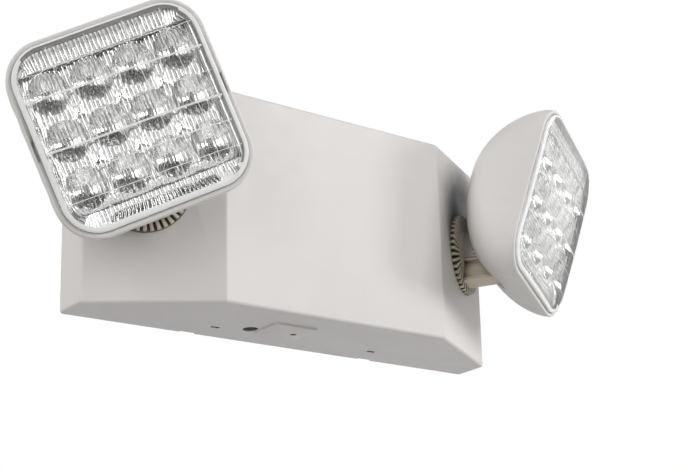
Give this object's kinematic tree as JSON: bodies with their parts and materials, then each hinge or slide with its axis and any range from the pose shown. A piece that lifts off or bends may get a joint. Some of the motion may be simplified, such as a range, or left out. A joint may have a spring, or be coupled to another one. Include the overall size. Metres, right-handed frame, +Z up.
{
  "type": "emergency light",
  "caption": "Wall mounted emergency light: drafted housing with a sealed battery and two square lamp heads on swivel and tilt arms.",
  "frame": {"origin": "centre of the wire entry in the wall face of the back plate", "axes": "X along the width, to the right seen from the front; Y towards the wall; Z up"},
  "size_m": [0.3662, 0.1049, 0.1323],
  "materials": {
    "housing_plastic": "moulded off-white thermoplastic, fine satin grain",
    "head_plastic": "moulded off-white thermoplastic, fine satin grain",
    "arm_plastic": "moulded cream thermoplastic",
    "dark_plastic": "moulded dark grey plastic",
    "battery_wrap": "green shrink wrap",
    "steel": "zinc plated steel",
    "core_steel": "stacked steel laminations",
    "coil_tape": "yellow winding tape",
    "capacitor_sleeve": "dark shrink sleeve",
    "terminal_plastic": "green moulded plastic",
    "board": "green solder mask",
    "indicator": "translucent red plastic",
    "clear_lens": "clear moulded plastic, fine flutes on the inside",
    "mirror_coat": "vacuum metallised plastic",
    "lamp_body": "white package with a yellow phosphor"
  },
  "bodies": {
    "housing": {"front_cover": "housing_plastic", "back_plate": "housing_plastic", "battery_pack": "battery_wrap", "battery_strap": "steel", "circuit_board": "board", "board_screws": "steel", "transformer_core": "core_steel", "transformer_coil": "coil_tape", "capacitors": "capacitor_sleeve", "terminal_block": "terminal_plastic", "test_switch": "dark_plastic", "indicator_lamp": "indicator"},
    "button": {"test_button": "dark_plastic"},
    "left_arm": {"left_swivel_arm": "arm_plastic", "left_hub_nut": "arm_plastic", "left_friction_washer": "steel", "left_pivot_pin": "steel"},
    "left_head": {"left_head_shell": "head_plastic", "left_lens": "clear_lens", "left_reflector": "mirror_coat", "left_lamp_board": "board", "left_lamps": "lamp_body", "left_lamp_screws": "steel"},
    "right_arm": {"right_swivel_arm": "arm_plastic", "right_hub_nut": "arm_plastic", "right_friction_washer": "steel", "right_pivot_pin": "steel"},
    "right_head": {"right_head_shell": "head_plastic", "right_lens": "clear_lens", "right_reflector": "mirror_coat", "right_lamp_board": "board", "right_lamps": "lamp_body", "right_lamp_screws": "steel"}
  },
  "joints": [
    {"name": "left_swivel", "type": "hinge", "parent": "housing", "child": "left_arm", "pos_m": [-0.10312, -0.03363, 0.002], "axis": [-0.5031, -0.8642, 0], "range_deg": [-83.4, 36.6]},
    {"name": "left_tilt", "type": "hinge", "parent": "left_arm", "child": "left_head", "pos_m": [-0.11469, -0.06219, -0.0081], "axis": [0.7931, -0.4618, 0.3971], "range_deg": [-0.4, 28]},
    {"name": "right_swivel", "type": "hinge", "parent": "housing", "child": "right_arm", "pos_m": [0.10312, -0.03363, 0.002], "axis": [0.5031, -0.8642, 0], "range_deg": [-50.5, 69.5]},
    {"name": "right_tilt", "type": "hinge", "parent": "right_arm", "child": "right_head", "pos_m": [0.1169, -0.06091, -0.00885], "axis": [0.8523, 0.4962, -0.165], "range_deg": [-5.4, 23]},
    {"name": "test_push", "type": "slide", "parent": "housing", "child": "button", "axis": [0, 0, 1], "range_m": [0, 0.0015], "stiffness_N_per_m": 300, "springref_m": -0.001}
  ]
}
